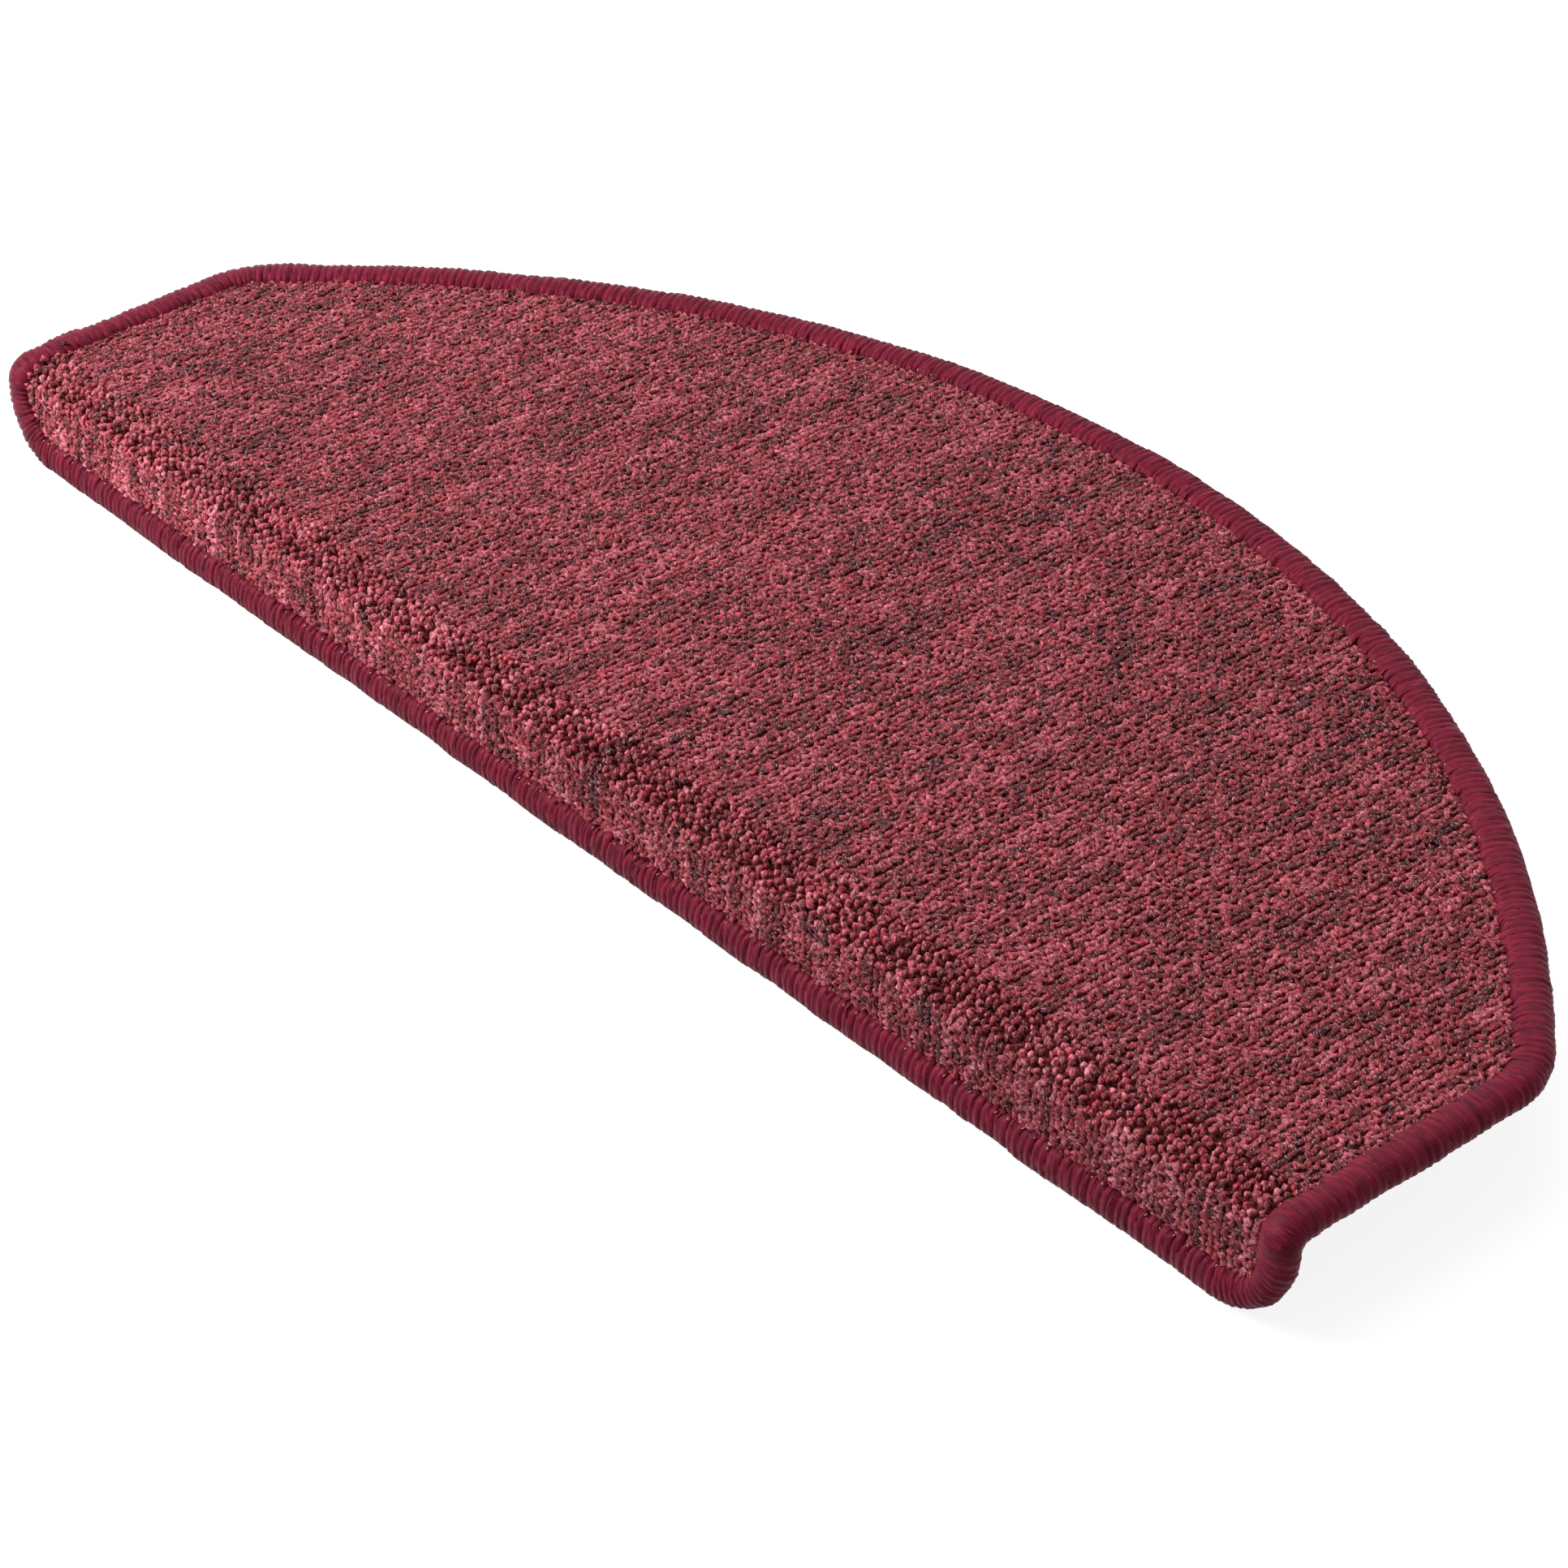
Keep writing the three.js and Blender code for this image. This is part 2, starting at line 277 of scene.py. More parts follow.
class Shader:
    """A node material with a Principled surface, put together in code."""

    def __init__(self, name):
        self.material = bpy.data.materials.new(name)
        self.material.use_nodes = True
        self.tree = self.material.node_tree
        self.surface = self.tree.nodes["Principled BSDF"]

    def node(self, kind, inputs=None, **settings):
        """A new node. Its inputs are values, or outputs of other nodes."""
        node = self.tree.nodes.new(kind)
        for key, value in settings.items():
            setattr(node, key, value)
        for key, value in (inputs or {}).items():
            if isinstance(value, bpy.types.NodeSocket):
                self.tree.links.new(value, node.inputs[key])
            else:
                node.inputs[key].default_value = value
        return node

    def link(self, socket, name):
        """Leads a node's output into the surface."""
        self.tree.links.new(socket, self.surface.inputs[name])

    def set(self, **values):
        """Numbers and colours of the surface that are the same all over it."""
        for key, value in values.items():
            self.surface.inputs[key.replace("_", " ")].default_value = value

    def object_place(self):
        """The place on the piece, in metres."""
        return self.node("ShaderNodeTexCoord").outputs["Object"]

    def mapped(self, place, scale, turn=0.0):
        inputs = {"Vector": place, "Scale": scale, "Rotation": (0, 0, turn)}
        return self.node("ShaderNodeMapping", inputs).outputs["Vector"]

    def noise(self, place, scale, detail=2.0, roughness=0.5, distortion=0.0, dimensions="3D"):
        inputs = {
            "Vector": place,
            "Scale": scale,
            "Detail": detail,
            "Roughness": roughness,
            "Distortion": distortion,
        }
        return self.node("ShaderNodeTexNoise", inputs, noise_dimensions=dimensions).outputs["Fac"]

    def ramp(self, factor, stops):
        """The grey or colour that a factor has between stops."""
        node = self.node("ShaderNodeValToRGB", {"Fac": factor})
        elements = node.color_ramp.elements
        while len(elements) < len(stops):
            elements.new(0.5)
        for element, (position, value) in zip(elements, stops):
            element.position = position
            grey = (value, value, value) if np.isscalar(value) else tuple(value)
            element.color = (*grey, 1)
        return node.outputs["Color"]

    def mix(self, factor, a, b, blend_type="MIX"):
        """Colour b over colour a, as far as factor says."""
        first, second, result = 6, 7, 2  # the sockets for colours
        inputs = {"Factor": factor, first: a, second: b}
        node = self.node("ShaderNodeMix", inputs, data_type="RGBA", blend_type=blend_type)
        return node.outputs[result]

    def multiply(self, a, b):
        return self.mix(1, a, b, "MULTIPLY")

    def bump(self, height, distance, strength=1.0, normal=None):
        inputs = {"Height": height, "Distance": distance, "Strength": strength}
        if normal is not None:
            inputs["Normal"] = normal
        return self.node("ShaderNodeBump", inputs).outputs["Normal"]


# Pale pink for the painted highlight, glints on the palest fibres
PAINTED_GLINT_COLOUR = linear(226, 156, 164)
REDDISH = (1.0, 0.6, 0.66, 1)
REDDISH_SHEEN = (1.0, 0.62, 0.68, 1)


def yarn_material(
    name, *, girth, twist, filament, contrast, fine, curl, painted_glint, roughness, gloss, sheen, depth
):
    """Spun or filament yarn: the tint of each stretch, crossed by twisted filaments.

    girth is the length of yarn skin that the map "yarn" spans in x, twist the slant of
    the filaments in radians, and filament the width and length of one streak. contrast is
    how dark, plain and light the streaks are, and fine that of the single fibres in them.
    curl is the size of the clumps of filaments and how dark and light they are. The strength
    of the painted highlight, glints on the palest fibres, is how far they turn to pale pink.
    These lengths are in millimetres, but depth, which is how deep the filaments seem, is in metres.
    """
    s = Shader(name)
    tint = s.node("ShaderNodeAttribute", attribute_name="tint").outputs["Color"]
    uv = s.node("ShaderNodeUVMap", uv_map="yarn").outputs["UV"]
    turned = s.mapped(uv, (girth, 1, 1), twist)
    streaks = s.mapped(turned, (1 / filament[0], 1 / filament[1], 1))
    fine_streaks = s.mapped(turned, (2 / filament[0], 1.5 / filament[1], 1))
    filaments = s.noise(streaks, 1.0, 1.5, 0.6, dimensions="2D")
    fibres = s.noise(fine_streaks, 1.0, 1.0, dimensions="2D")
    clumps = s.noise(s.object_place(), 1000 / curl[0])

    low, middle, high = contrast
    shade = s.ramp(filaments, [(0.32, low), (0.5, middle), (0.66, high)])
    shade = s.multiply(shade, s.ramp(fibres, [(0.3, 1 - fine), (0.7, 1 + fine)]))
    clump = s.ramp(clumps, [(0.32, curl[1]), (0.68, curl[2])])
    yarn = s.multiply(s.multiply(tint, shade), clump)
    # Painted highlight: the palest fibres are mixed towards pale pink, as glints
    pale = s.ramp(fibres, [(0.6, 0.0), (0.69, painted_glint)])
    s.link(s.mix(pale, yarn, (*PAINTED_GLINT_COLOUR, 1)), "Base Color")

    coarse_bump = s.bump(clumps, depth * 2.5, 0.9)
    filament_bump = s.bump(filaments, depth, 1.0, coarse_bump)
    s.link(s.bump(fibres, depth / 2, 1.0, filament_bump), "Normal")
    s.set(Roughness=roughness, Specular_IOR_Level=gloss, Specular_Tint=REDDISH)
    s.set(Sheen_Weight=sheen, Sheen_Roughness=0.4, Sheen_Tint=REDDISH_SHEEN)
    return s.material


# Loop pile

ROW_PITCH = 2.5
PILE_INSET = 11.3
PILE_CORNER = 9.0  # the radius of the pile's own corners in front
LEFT_CORNER_MORE = 0.55  # how much further the binding reaches at the left-hand corner
TUFT_BASE = 3.3
# The large loose loops lie between these two values of v
BEND_START = -5.2
BEND_END = 8.4

BLACK = linear(76, 22, 25)
WINE = linear(128, 33, 40)
ROSE = linear(188, 72, 83)
RED = linear(202, 54, 68)
PALE = linear(232, 128, 142)

# The three kinds of loops. Each of a loop's rings says how far along the row it is, how
# high as a share of the pile's height, how wide, how thick, and how light, which is painted
# shade: darker low on the bend's loops, where the loops shade each other, and a little
# lighter at their crowns. The stitch is the yarn between two loops; its shade is painted
# shade in the gaps between them. spread is that of the colours from loop to loop, by_row
# that from row to row, light the tint of the whole kind, and the last value a painted light
# falloff, as from a lamp on the left: how much darker the kind is at the right-hand end,
# and lighter at the left-hand end.
LOOPS = {
    "pressed": {
        "rings": [(0.0, 1.0, 1.46, 0.78, 1.0)],
        "stitch": {"length": 2.05, "height": 2.7, "width": 1.1, "thickness": 0.62, "shade": 0.92},
        "spread": 0.9,
        "by_row": 0.0,
        "light": (0.705, 0.56, 0.59),
        "painted_falloff": 0.0,
    },
    "bend": {
        "rings": [
            (-0.72, 0.55, 0.9, 0.66, 0.7),
            (-0.6, 0.86, 1.02, 0.74, 0.95),
            (0.0, 1.0, 1.06, 0.78, 1.08),
            (0.6, 0.86, 1.02, 0.74, 0.95),
            (0.72, 0.55, 0.9, 0.66, 0.7),
        ],
        "stitch": {"length": 2.76, "height": 0.2, "width": 0.62, "thickness": 0.45, "shade": 0.3},
        "spread": 0.7,
        "by_row": 0.0,
        "light": (0.86, 0.9, 0.91),
        "painted_falloff": 0.0,
    },
    "nosing": {
        "rings": [(0.0, 0.98, 1.44, 0.72, 1.0)],
        "stitch": {"length": 1.8, "height": 2.25, "width": 1.15, "thickness": 0.62, "shade": 0.62},
        "spread": 0.58,
        "by_row": 0.45,
        "light": (1.16, 1.25, 1.26),
        "painted_falloff": 0.26,
    },
}


def melange(row, v, spread, by_row):
    """The colours of the pile yarn along each row, in streaks and single stitches."""
    along_row = smooth_noise(v / 10 + row * 41.3, 1)
    pair = np.floor(row / 2)
    long_row = smooth_noise(v / 24 + pair * 17.9, 2)
    patch = smooth_noise_2d(row * ROW_PITCH / 14, v / 38 + 60, 3)
    white = rng.normal(size=len(v))
    tone = 0.52 * along_row + 0.27 * long_row + 0.09 * patch + spread * white
    tone = tone + by_row * smooth_noise(row * 7.31 + 0.4, 12)
    hue = 0.6 * smooth_noise(v / 4 + row * 11.7, 4) + 0.8 * rng.normal(size=len(v))
    stops = np.array([-1.75, -0.7, 0.4, 1.7])
    colours = np.array([BLACK, WINE, ROSE, PALE])
    mixed = np.stack([np.interp(tone, stops, colours[:, k]) for k in range(3)], 1)
    red = np.clip((hue - 0.3) * 0.6, 0, 0.6) * np.clip(1.4 - np.abs(tone - 0.2), 0, 1)
    mixed = mixed * (1 - red[:, None]) + RED * red[:, None]
    knots = np.clip(smooth_noise(v / 5 + row * 23.1, 6) - 0.9, 0, 1)
    black = rng.random(len(v)) < 0.02 + 0.35 * knots
    mixed[black] = BLACK
    return mixed


def by_ring(shape, at_stitch, at_loop):
    """Values ring by ring: the stitch's before each loop's, and once more at the end.

    shape is the number of loops and that of one loop's rings.
    """
    table = np.full((shape[0], shape[1] + 1), at_stitch, dtype=float)
    table[:, 1:] = at_loop
    return np.append(table, at_stitch)


def loop_rows(name, rows, low, high, kind):
    """Continuous pile yarns between v = low(u) and high(u), a loop at each stitch.

    The pressed loops lie at a slant, those of the bend stand up singly, and those of the
    nosing zigzag.
    """
    look, stitch = LOOPS[kind], LOOPS[kind]["stitch"]
    loose = kind == "bend"
    drawn_rows = []
    for row, u in rows:
        start, end = low(u), high(u)
        count = int((end - start) / stitch["length"] + 0.5)
        if count < 1:
            continue
        pitch = (end - start) / count
        stagger = 0.5 * (row % 2) - 0.25
        v = start + (np.arange(count) + 0.5 + stagger * 0.9) * pitch
        v += rng.normal(size=count) * 0.32
        drawn_rows.append((row, u, v, pitch))

    dv, lift, wide, thick, light = np.array(look["rings"]).T
    parts = []
    for row, u, v, pitch in drawn_rows:
        shape = (len(v), len(dv))
        loops = (len(v), 1)
        tall = PILE_TOP - TUFT_BASE + rng.normal(size=loops) * (0.33 if loose else 0.24)
        broad = 1 + rng.normal(size=loops) * 0.12
        yaw = rng.normal(size=loops) * (0.25 if loose else 0.4) - (0.0 if loose else 0.3)
        if loose:
            big = 1.06 - 0.1 * u / HALF_WIDTH
            tall, broad = tall * (big + 0.03), broad * big
        lean_u = rng.normal(size=loops) * 0.13
        lean_v = rng.normal(size=loops) * 0.1
        shift = rng.normal(size=loops) * 0.27
        if kind == "nosing":
            shift = shift + 0.3 * (-1.0) ** np.arange(len(v))[:, None]
        h = tall * lift - thick * broad * 0.98
        along = dv * broad
        shift = shift + rng.normal(size=shape) * (0.16 if loose else 0.36)
        h = h + rng.normal(size=shape) * (0.1 if loose else 0.14)
        du = by_ring(shape, 0.0, shift - along * np.sin(yaw) + lean_u * h)
        if not loose:
            du = du + rng.normal(size=len(du)) * 0.35
        anchors = np.tile(v[:, None], (1, len(dv) + 1))
        anchors[:, 0] -= pitch / 2
        part = {
            "row": np.full(len(du), row),
            "u": np.full(len(du), u),
            "v": np.append(anchors, v[-1] + pitch / 2),
            "du": du,
            "dv": by_ring(shape, 0.0, along * np.cos(yaw) + lean_v * h),
            "dh": by_ring(shape, stitch["height"], h),
            "yaw": by_ring(shape, 0.0, yaw),
            "wide": by_ring(shape, stitch["width"], wide * broad),
            "thick": by_ring(shape, stitch["thickness"], thick * broad),
            "light": by_ring(shape, stitch["shade"], light),
        }
        parts.append(part)

    rings = {key: np.concatenate([part[key] for part in parts]) for key in parts[0]}
    base = wrap(rings["u"], rings["v"], TUFT_BASE)
    up = wrap(rings["u"], rings["v"], TUFT_BASE + 1) - base
    across = np.zeros_like(up)
    across[:, 0] = 0.001
    forward = np.cross(up, across) * 1000
    sideways, onward, upward, yaw = (rings[key][:, None] for key in ("du", "dv", "dh", "yaw"))
    centres = base + across * sideways + forward * onward + up * upward
    turned = across * np.cos(yaw) + forward * np.sin(yaw)
    tint = melange(rings["row"], rings["v"] + rings["dv"], look["spread"], look["by_row"])
    # Painted shade ring by ring, low on the loops and at the stitches, times the kind's tint
    tint *= rings["light"][:, None] * look["light"]
    # Painted light falloff: darker towards the right-hand end and lighter towards the left
    tint *= (1 - look["painted_falloff"] * rings["u"] / HALF_WIDTH)[:, None]
    phase = rng.normal(size=len(tint)) * 0.25
    size_noise = 1 + rng.normal(size=(2, len(tint))) * (0.1 if loose else 0.16)
    wide, thick = rings["wide"] * size_noise[0], rings["thick"] * size_noise[1]
    sides = 5
    return tubes(name, centres, turned, rings["row"], wide, thick, sides, tint, 0.75, phase)


def corner_reach(s):
    """How much less far the turns reach over the pile at the two front corners.

    The pile's corners are sharper than an even reach would leave them. At the left-hand
    one the turns then reach further again.
    """
    quarter = FRONT_RADIUS * math.pi / 2
    side = FRONT_RADIUS - PILE_INSET
    straight = side - PILE_CORNER
    reach = np.ones_like(s)
    for corner_start in (2 * FRONT_U, EDGE_LENGTH - quarter):
        t = (s - corner_start) / quarter
        angle = np.clip(t, 0, 1) * math.pi / 2
        low = np.minimum(np.cos(angle), np.sin(angle))
        high = np.maximum(np.cos(angle), np.sin(angle))
        middle = straight * (low + high)
        room = np.maximum(middle**2 - 2 * straight**2 + PILE_CORNER**2, 0)
        on_side = side * low / high <= straight
        inset = FRONT_RADIUS - np.where(on_side, side / high, middle + np.sqrt(room))
        inside = (t > 0) & (t < 1)
        reach = np.where(inside, (inset - BINDING_MIDDLE) / (PILE_INSET - BINDING_MIDDLE), reach)
    t = np.clip((s - EDGE_LENGTH + quarter) / quarter, 0, 1)
    return reach + LEFT_CORNER_MORE * np.sin(math.pi * t) ** 2


def drawn_in(inset, reach):
    """An inset, moved as the turns reach if it lies beyond the binding's middle."""
    moved = BINDING_MIDDLE + (inset - BINDING_MIDDLE) * reach
    return np.where(inset > BINDING_MIDDLE, moved, inset)


# The front end of the pile, which also goes a little way up the sides
front_s = np.arange(-60.0, 2 * FRONT_U + 60, 0.25)
front_reach = corner_reach(np.mod(front_s, EDGE_LENGTH))
front_u, front_v = edge(front_s, drawn_in(PILE_INSET, front_reach))
front_u = np.maximum.accumulate(front_u)


def pile_front(u):
    return float(np.interp(u, front_u, front_v))


def pile_back(u):
    return float(back_of(u, PILE_INSET))


def bend_start(u):
    return BEND_START


def bend_end(u):
    return BEND_END


pile_side = HALF_WIDTH - PILE_INSET - 0.6
row_count = 2 * round(pile_side / ROW_PITCH) + 1
all_rows = [(k, pile_side * (2 * k / (row_count - 1) - 1)) for k in range(row_count)]

pile_yarn = yarn_material(
    "pile_yarn",
    girth=6.0,
    twist=0.95,
    filament=(0.75, 1.8),
    contrast=(0.43, 0.97, 1.82),
    fine=0.34,
    curl=(1.0, 0.84, 1.16),
    painted_glint=0.8,
    roughness=0.4,
    gloss=0.3,
    sheen=0.05,
    depth=0.0002,
)
pieces = []
# The tread's pile is in four pieces, so that none has too many triangles
for number, band in enumerate(np.array_split(np.arange(row_count), 4), 1):
    band_rows = [all_rows[k] for k in band]
    pieces.append(loop_rows(f"pile_tread_{number}", band_rows, bend_end, pile_back, "pressed"))
pieces.append(loop_rows("pile_bend", all_rows, bend_start, bend_end, "bend"))
pieces.append(loop_rows("pile_nosing", all_rows, pile_front, bend_start, "nosing"))
for piece in pieces:
    piece.data.materials.append(pile_yarn)

# Ground cloth that holds the loops


def ring_sheet(name, inset, step):
    """A closed sheet inside the cut, of quads along lines of constant u, about step apart.

    Its top is the dense foot of the pile: low under the loose loops of the bend, and
    high where the loops are pressed.
    """
    side = HALF_WIDTH - inset - 0.02
    u = np.linspace(-side, side, int(2 * (HALF_WIDTH - inset) / step) + 1)
    front, back = front_of(u, inset)[:, None], back_of(u, inset)[:, None]
    round_bend = np.linspace(-BEND_LENGTH, 0, 5)
    bend = np.concatenate([[-10.5], round_bend, [3.0, BEND_END, BEND_END + 3]])
    down_nosing = np.linspace(0, 1, 6)[:-1]
    up_tread = np.linspace(0, 1, 22)[1:]
    below = front + (bend[0] - front) * down_nosing
    above = bend[-1] + (back - bend[-1]) * up_tread
    v = np.concatenate([below, np.tile(bend, (len(u), 1)), above], 1)
    n, m = v.shape
    high = np.interp(v, *zip(*GROUND_TOPS))
    top = wrap(u[:, None], v, high).reshape(-1, 3)
    bottom = wrap(u[:, None], v, GROUND_BOTTOM).reshape(-1, 3)
    index = np.arange(n * m).reshape(n, m)
    a, b, c, d = index[:-1, :-1], index[1:, :-1], index[1:, 1:], index[:-1, 1:]
    up = np.stack([a, b, c, d], -1).reshape(-1, 4)
    down = np.stack([a, d, c, b], -1).reshape(-1, 4) + n * m
    rim = np.concatenate([index[:, 0], index[-1, 1:], index[-2::-1, -1], index[0, -2:0:-1]])
    nxt = np.roll(rim, -1)
    wall = np.stack([rim + n * m, nxt + n * m, nxt, rim], -1)
    return add_mesh(name, np.concatenate([top, bottom]), [up, down, wall])


def cut_area(inset):
    """The area of the cut within an inset, in square metres."""
    u, v = edge(EDGE_ALONG[:-1], inset)
    return abs(np.dot(u, np.roll(v, -1)) - np.dot(v, np.roll(u, -1))) / 2 * 1e-6


GROUND_INSET = 3.6
# v and h along the ground's top, from the nosing to the tread
GROUND_TOPS = [(-10.5, 5.35), (-6.5, 3.6), (BEND_END - 1, 3.6), (BEND_END + 3, 5.35)]
ground = ring_sheet("carpet_ground", GROUND_INSET, 9.0)
weave_shader = Shader("ground_weave")
weave = weave_shader.noise(weave_shader.object_place(), 900.0, 3.0)
weave_colour = weave_shader.ramp(weave, [(0.3, linear(122, 44, 50)), (0.7, linear(182, 72, 80))])
weave_shader.link(weave_colour, "Base Color")
weave_shader.link(weave_shader.bump(weave, 0.0003), "Normal")
weave_shader.set(Roughness=0.9)
ground.data.materials.append(weave_shader.material)

# Binding

WRAP_PITCH = 2.75
BINDING_TINT = linear(119, 24, 48)
SEAM_V = 14.0  # the yarn ends here, on the left-hand side
SEAM_AT = EDGE_LENGTH - FRONT_RADIUS * math.pi / 2 - (SEAM_V - FRONT_V)
# How far the middle of the yarn lies inside the binding's surface
TURN_INSIDE = 1.0
STRAND_INSIDE = 0.2
STRAND_PITCH = 1.0
VALLEY_DEPTH = 0.6  # how deep the strands sink between two turns


def binding_path(inside):
    """The middle of the yarn in the binding's section: rows of inset and height."""
    reach = BINDING_MIDDLE - inside
    angles = np.radians([-62, -30, 0, 30, 62])
    arc = [
        (BINDING_MIDDLE - reach * math.cos(a), BINDING_MIDDLE + reach * math.sin(a)) for a in angles
    ]
    low = [(10.3, inside + 0.75), (8.6, inside + 0.05), (5.2, inside)]
    top = BINDING_THICKNESS - inside
    high = [(5.2, top), (7.7, top - 0.12), (9.9, top - 0.85), (11.1, top - 2.2), (11.3, top - 3.6)]
    return np.array(low + arc + high)


def over_pile(s, inset, height):
    """The insets of the binding's section at s, moved on its upper side as the turns reach."""
    reach = np.where(height > BINDING_MIDDLE, corner_reach(s)[:, None], 1.0)
    return drawn_in(inset, reach)


def local_stretch(v, h):
    """How much longer the outside of the bend is than the cut's middle."""
    inside = np.clip((v + BEND_LENGTH) / 1.5, 0, 1) * np.clip(-v / 1.5 + 1, 0, 1)
    return 1 + inside * ((BEND_INSIDE_RADIUS + h) / MIDDLE_RADIUS - 1)


def at_smooth_end(s):
    """1 where the yarn lies fine and close, on the right-hand side, and 0 elsewhere."""
    u, v = edge(s, 0)
    return np.clip((u - 150) / 150, 0, 1) * np.clip((v + 30) / 20, 0, 1)


def wrap_places():
    """Where the turns of yarn sit along the edge: in pairs, and closer round the bend."""
    step = 0.05
    s = np.arange(0, EDGE_LENGTH, step)
    v = edge(s, 0)[1]
    density = local_stretch(v, BINDING_THICKNESS) ** 0.8
    total = np.concatenate([[0], np.cumsum(density) * step])
    count = 2 * round(total[-1] / WRAP_PITCH / 2)
    turn = (np.arange(count) + 0.5) / count * total[-1]
    found = np.interp(turn, total, np.append(s, EDGE_LENGTH))
    paired = np.where(np.arange(count) % 2, -1, 1) * (0.16 - 0.06 * at_smooth_end(found))
    return found + paired + rng.normal(size=count) * 0.09


def binding_rings(places, inside):
    """Rings of the yarn that lies across the edge at places: their s, inset and height."""
    path = binding_path(inside)
    rings, count = len(path), len(places)
    swell = 0.12 * smooth_noise(places / 6.2, 8) + 0.22 * smooth_noise(places / 23, 9)
    swell = swell + 0.09 * rng.normal(size=count)
    at_seam = np.exp(-np.abs((places - SEAM_AT) / 7.0) ** 4)
    swell = (swell + 0.22 + 1.2 * at_seam).clip(-0.3, 1.6)
    inset, height = np.tile(path[:, 0], (count, 1)), np.tile(path[:, 1], (count, 1))
    out_inset = np.minimum(inset - BINDING_MIDDLE, 0) / BINDING_MIDDLE
    out_height = (height - BINDING_MIDDLE) / BINDING_MIDDLE
    grow = np.sin(np.clip(np.linspace(0, 1.08, rings), 0, 1) * math.pi)[None] * swell[:, None]
    inset, height = inset + out_inset * grow, height + out_height * grow * 0.7
    inner = np.clip((inset - 6) / 3, 0, 1)
    inset = inset + inner * rng.normal(size=(count, 1)) * 0.35
    inset = over_pile(places, inset, height)
    t = np.linspace(-1, 1, rings)[None]
    slant = 0.8 * t + 0.3 * smooth_noise(places / 31, 10)[:, None] * t
    slant = slant + 0.16 * rng.normal(size=(count, 1)) * t
    slant = slant + 0.1 * rng.normal(size=(count, rings))
    return places[:, None] + slant, inset, height


def ring_frames(s, inset, height):
    """Ring centres in metres, the way back along the edge, and how stretched it is."""
    centres = wrap(*edge(s, inset), height)
    ahead = wrap(*edge(s + 0.5, inset), height)
    behind = wrap(*edge(s - 0.5, inset), height)
    across = (behind - ahead).reshape(-1, 3)
    stretch = np.linalg.norm(across, axis=1) / 0.001
    across /= np.linalg.norm(across, axis=1, keepdims=True)
    return centres.reshape(-1, 3), across, stretch


def valleys(s, turns):
    """How far strands at s sink in between the turns, and how steeply."""
    sink, slope = np.zeros_like(s), np.zeros_like(s)
    depth = VALLEY_DEPTH * (1 - 0.45 * at_smooth_end(s[:, 0, 0]))[:, None]
    for ring in range(s.shape[1]):
        at = np.sort(turns[:, ring])
        after = np.clip(np.searchsorted(at, s[:, ring]), 1, len(at) - 1)
        near_before = s[:, ring] - at[after - 1] < at[after] - s[:, ring]
        gap = s[:, ring] - np.where(near_before, at[after - 1], at[after])
        q = np.clip(gap / (WRAP_PITCH / 2), -1, 1)
        sink[:, ring] = depth * q**2
        slope[:, ring] = depth * q * 4 / WRAP_PITCH
    return sink, slope


def at_both_ends(rings, end, between):
    """A row of one value for the two end rings of a yarn, and another in between."""
    return np.where(np.isin(np.arange(rings), [0, rings - 1]), end, between)


places = wrap_places()
rings = len(binding_path(TURN_INSIDE))
count = len(places)
smooth_end = np.repeat(at_smooth_end(places), rings)
turn_s, inset, height = binding_rings(places, TURN_INSIDE)
centres, across, stretch = ring_frames(turn_s, inset, height)
wide = 0.5 * WRAP_PITCH * stretch + 0.34 + 0.4 * smooth_end
wide *= 1 + 0.1 * rng.normal(size=len(wide))
ends = np.tile(at_both_ends(rings, 0.75, 1.0), count)
tone = 1 + 0.1 * smooth_noise(places / 9, 11) + 0.07 * rng.normal(size=count)
binding = tubes(
    "binding_yarn",
    centres,
    across,
    np.repeat(np.arange(count), rings),
    wide * ends,
    0.8 * ends,
    7,
    BINDING_TINT * np.repeat(tone, rings)[:, None],
    offset=0.0,
)
binding_shader = yarn_material(
    "binding_yarn",
    girth=7.2,
    twist=0.12,
    filament=(0.45, 7.0),
    contrast=(0.64, 0.96, 1.4),
    fine=0.16,
    curl=(2.6, 0.88, 1.12),
    painted_glint=0.06,
    roughness=0.45,
    gloss=0.12,
    sheen=0.03,
    depth=0.00006,
)
binding.data.materials.append(binding_shader)

# Single strands that lie over the turns, as flat ribbons with four corners to a ring
strands = np.arange(0, EDGE_LENGTH, STRAND_PITCH)
strands = strands + rng.normal(size=len(strands)) * 0.16
s, inset, height = binding_rings(strands, STRAND_INSIDE)
centres, across, stretch = ring_frames(s, inset, height)
half = 0.8 * (1 + 0.15 * rng.normal(size=s.shape)).clip(0.6, 1.5)
flatness = at_both_ends(rings, 0.1, 0.15)[None] + 0 * s
run = np.gradient(binding_path(STRAND_INSIDE), axis=0)
outward = np.stack([-run[:, 1], run[:, 0]]) / np.linalg.norm(run, axis=1)
corner_s = s[..., None] + half[..., None] * np.array([-1, 0, 1, 0])
sink, slope = valleys(corner_s, turn_s)
lift = flatness[..., None] * np.array([0, -1, 0, 1]) - sink
corner_inset = inset[..., None] + outward[0][None, :, None] * lift
corner_height = height[..., None] + outward[1][None, :, None] * lift
corners = wrap(*edge(corner_s, corner_inset), corner_height)


def unit(vectors):
    return vectors / np.linalg.norm(vectors, axis=-1, keepdims=True)


